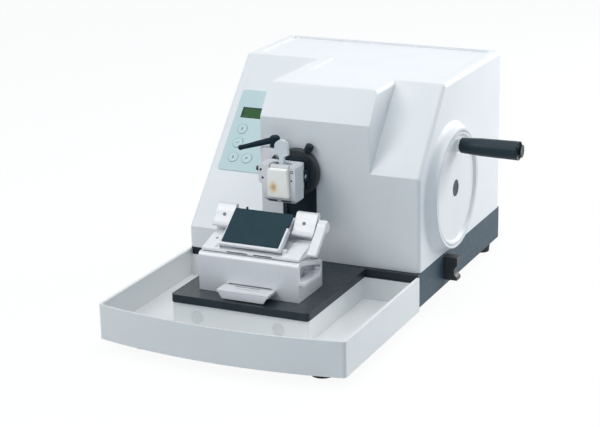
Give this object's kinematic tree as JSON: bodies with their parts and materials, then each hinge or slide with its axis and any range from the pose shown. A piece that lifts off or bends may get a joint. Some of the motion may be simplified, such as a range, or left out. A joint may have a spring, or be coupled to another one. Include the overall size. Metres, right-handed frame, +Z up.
{
  "type": "rotary microtome",
  "caption": "Semi-automatic bench rotary microtome with stepped cover, handwheel, tilting specimen clamp, blade holder on a deck plate and pull-out waste tray.",
  "frame": {"origin": "on the bench under the middle of the whole machine's bounding box", "axes": "+X towards the handwheel, +Y from the blade holder to the rear wall, +Z up"},
  "size_m": [0.4436, 0.6064, 0.3033],
  "materials": {
    "cover_paint": "satin off-white paint",
    "base_paint": "satin slate paint",
    "deck_black": "satin blue-black",
    "tray_white": "satin white",
    "foot_rubber": "matte",
    "panel_film": "satin film",
    "display_green": "gloss",
    "key_film": "satin film",
    "board_green": "satin",
    "black_coat": "satin black",
    "steel": "machined",
    "holder_steel": "satin nickel",
    "frame_iron": "as cast with machined faces",
    "bronze": "machined",
    "wheel_white": "satin white",
    "grip_dark": "satin",
    "wax": "waxy",
    "cassette_white": "matte",
    "paddle_white": "satin",
    "plate_dark": "satin dark teal",
    "blade_steel": "polished",
    "magnet_plate": "plated",
    "black_plastic": "matte"
  },
  "bodies": {
    "frame": {"base_casting": "base_paint", "rubber_feet": "foot_rubber", "deck_plate": "deck_black", "guide_rail": "steel", "housing_cover": "cover_paint", "cover_screws": "black_coat", "slot_plate": "black_coat", "control_panel": "panel_film", "display_window": "display_green", "control_board": "board_green", "slide_frame": "frame_iron", "slide_rails": "steel", "bearing_block": "frame_iron", "shaft_bearings": "steel", "power_supply": "steel", "mains_inlet": "black_plastic"},
    "tray": {"waste_tray": "tray_white", "tray_magnets": "magnet_plate"},
    "wheel": {"handwheel": "wheel_white", "hub_cap": "grip_dark", "grip_axle": "steel", "wheel_shaft": "steel", "crank_disc": "steel"},
    "grip": {"hand_grip": "grip_dark"},
    "vertical_slide": {"carriage": "frame_iron", "quill_bush": "bronze", "slot_shield": "black_coat", "yoke_plate": "steel", "feed_motor": "black_coat"},
    "feed": {"quill": "steel", "feed_screw": "steel", "head_flange": "black_coat", "orientation_cradle": "black_coat", "lock_block": "holder_steel"},
    "flange_knob": {"head_knob": "black_coat"},
    "gimbal": {"orientation_ring": "holder_steel"},
    "specimen_clamp": {"orientation_block": "holder_steel", "clamp_body": "holder_steel", "cassette": "cassette_white", "wax_block": "wax"},
    "clamp_jaw": {"jaw_lever": "paddle_white", "upper_jaw": "holder_steel"},
    "head_lever": {"orientation_lever": "black_coat"},
    "holder_base": {"knife_base": "holder_steel"},
    "holder_side_lever": {"side_lever": "holder_steel"},
    "holder_front_lever": {"front_lever": "holder_steel"},
    "segment": {"tilt_segment": "holder_steel"},
    "blade_carrier": {"cross_slide": "holder_steel", "back_plate": "holder_steel", "blade": "blade_steel", "pressure_plate": "holder_steel"},
    "section_plate": {"deflector_carrier": "holder_steel", "deflector_plate": "plate_dark"},
    "blade_clamp_lever": {"blade_lever": "holder_steel"},
    "wheel_lock_lever": {"wheel_lock": "black_plastic"},
    "mains_switch": {"power_switch": "black_plastic"},
    "up_key": {"key_up": "key_film"},
    "step_key": {"key_step": "key_film"},
    "down_key": {"key_down": "key_film"},
    "start_key": {"key_start": "key_film"}
  },
  "joints": [
    {"name": "tray_slide", "type": "slide", "parent": "frame", "child": "tray", "axis": [0, -1, 0], "range_m": [0, 0.25]},
    {"name": "handwheel_spin", "type": "hinge", "parent": "frame", "child": "wheel", "pos_m": [0.12575, 0.0818, 0.155], "axis": [1, 0, 0], "continuous": true},
    {"name": "grip_spin", "type": "hinge", "parent": "wheel", "child": "grip", "pos_m": [0.17075, 0.0878, 0.2145], "axis": [1, 0, 0], "continuous": true},
    {"name": "specimen_stroke", "type": "slide", "parent": "frame", "child": "vertical_slide", "axis": [0, 0, 1], "range_m": [-0.06, 0]},
    {"name": "specimen_feed", "type": "slide", "parent": "vertical_slide", "child": "feed", "axis": [0, -1, 0], "range_m": [0, 0.028]},
    {"name": "flange_knob_turn", "type": "hinge", "parent": "feed", "child": "flange_knob", "pos_m": [-0.05295, -0.0371, 0.1906], "axis": [0.4617, 0, 0.887], "range_deg": [0, 90]},
    {"name": "head_tilt_x", "type": "hinge", "parent": "feed", "child": "gimbal", "pos_m": [-0.05295, -0.0532, 0.1906], "axis": [1, 0, 0], "range_deg": [-8, 8]},
    {"name": "head_tilt_z", "type": "hinge", "parent": "gimbal", "child": "specimen_clamp", "pos_m": [-0.05295, -0.0532, 0.1906], "axis": [0, 0, 1], "range_deg": [-8, 8]},
    {"name": "jaw_open", "type": "hinge", "parent": "specimen_clamp", "child": "clamp_jaw", "pos_m": [-0.05295, -0.0802, 0.209], "axis": [1, 0, 0], "range_deg": [-20, 0], "stiffness_Nm_per_rad": 0.3, "springref_deg": 20.05},
    {"name": "head_lever_turn", "type": "hinge", "parent": "feed", "child": "head_lever", "pos_m": [-0.07875, -0.0502, 0.235], "axis": [0, 0, 1], "range_deg": [-35, 30]},
    {"name": "holder_slide", "type": "slide", "parent": "frame", "child": "holder_base", "axis": [0, 1, 0], "range_m": [-0.02, 0.008]},
    {"name": "side_lever_turn", "type": "hinge", "parent": "holder_base", "child": "holder_side_lever", "pos_m": [0.02075, -0.1472, 0.0914], "axis": [-1, 0, 0], "range_deg": [0, 20]},
    {"name": "front_lever_lift", "type": "hinge", "parent": "holder_base", "child": "holder_front_lever", "pos_m": [-0.04925, -0.1862, 0.07665], "axis": [-1, 0, 0], "range_deg": [0, 10]},
    {"name": "clearance_tilt", "type": "hinge", "parent": "holder_base", "child": "segment", "pos_m": [-0.05225, -0.1292, 0.1575], "axis": [-1, 0, 0], "range_deg": [0, 8]},
    {"name": "cross_shift", "type": "slide", "parent": "segment", "child": "blade_carrier", "axis": [1, 0, 0], "range_m": [0, 0.012]},
    {"name": "section_plate_swing", "type": "hinge", "parent": "blade_carrier", "child": "section_plate", "pos_m": [-0.05475, -0.1744, 0.12614], "axis": [1, 0, 0], "range_deg": [0, 38]},
    {"name": "blade_lever_turn", "type": "hinge", "parent": "blade_carrier", "child": "blade_clamp_lever", "pos_m": [0.01075, -0.1321, 0.1502], "axis": [1, 0, 0], "range_deg": [-70, 0]},
    {"name": "wheel_lock_turn", "type": "hinge", "parent": "frame", "child": "wheel_lock_lever", "pos_m": [0.12575, 0.0693, 0.045], "axis": [1, 0, 0], "range_deg": [0, 40]},
    {"name": "switch_rock", "type": "hinge", "parent": "frame", "child": "mains_switch", "pos_m": [-0.12525, 0.2968, 0.1], "axis": [1, 0, 0], "range_deg": [0, 8]},
    {"name": "up_key_press", "type": "slide", "parent": "frame", "child": "up_key", "axis": [0, 0.7315, -0.6818], "range_m": [0, 0.0006], "stiffness_N_per_m": 800, "springref_m": -0.001},
    {"name": "step_key_press", "type": "slide", "parent": "frame", "child": "step_key", "axis": [0, 0.7315, -0.6818], "range_m": [0, 0.0006], "stiffness_N_per_m": 800, "springref_m": -0.001},
    {"name": "down_key_press", "type": "slide", "parent": "frame", "child": "down_key", "axis": [0, 0.7315, -0.6818], "range_m": [0, 0.0006], "stiffness_N_per_m": 800, "springref_m": -0.001},
    {"name": "start_key_press", "type": "slide", "parent": "frame", "child": "start_key", "axis": [0, 0.7315, -0.6818], "range_m": [0, 0.0006], "stiffness_N_per_m": 800, "springref_m": -0.001}
  ]
}
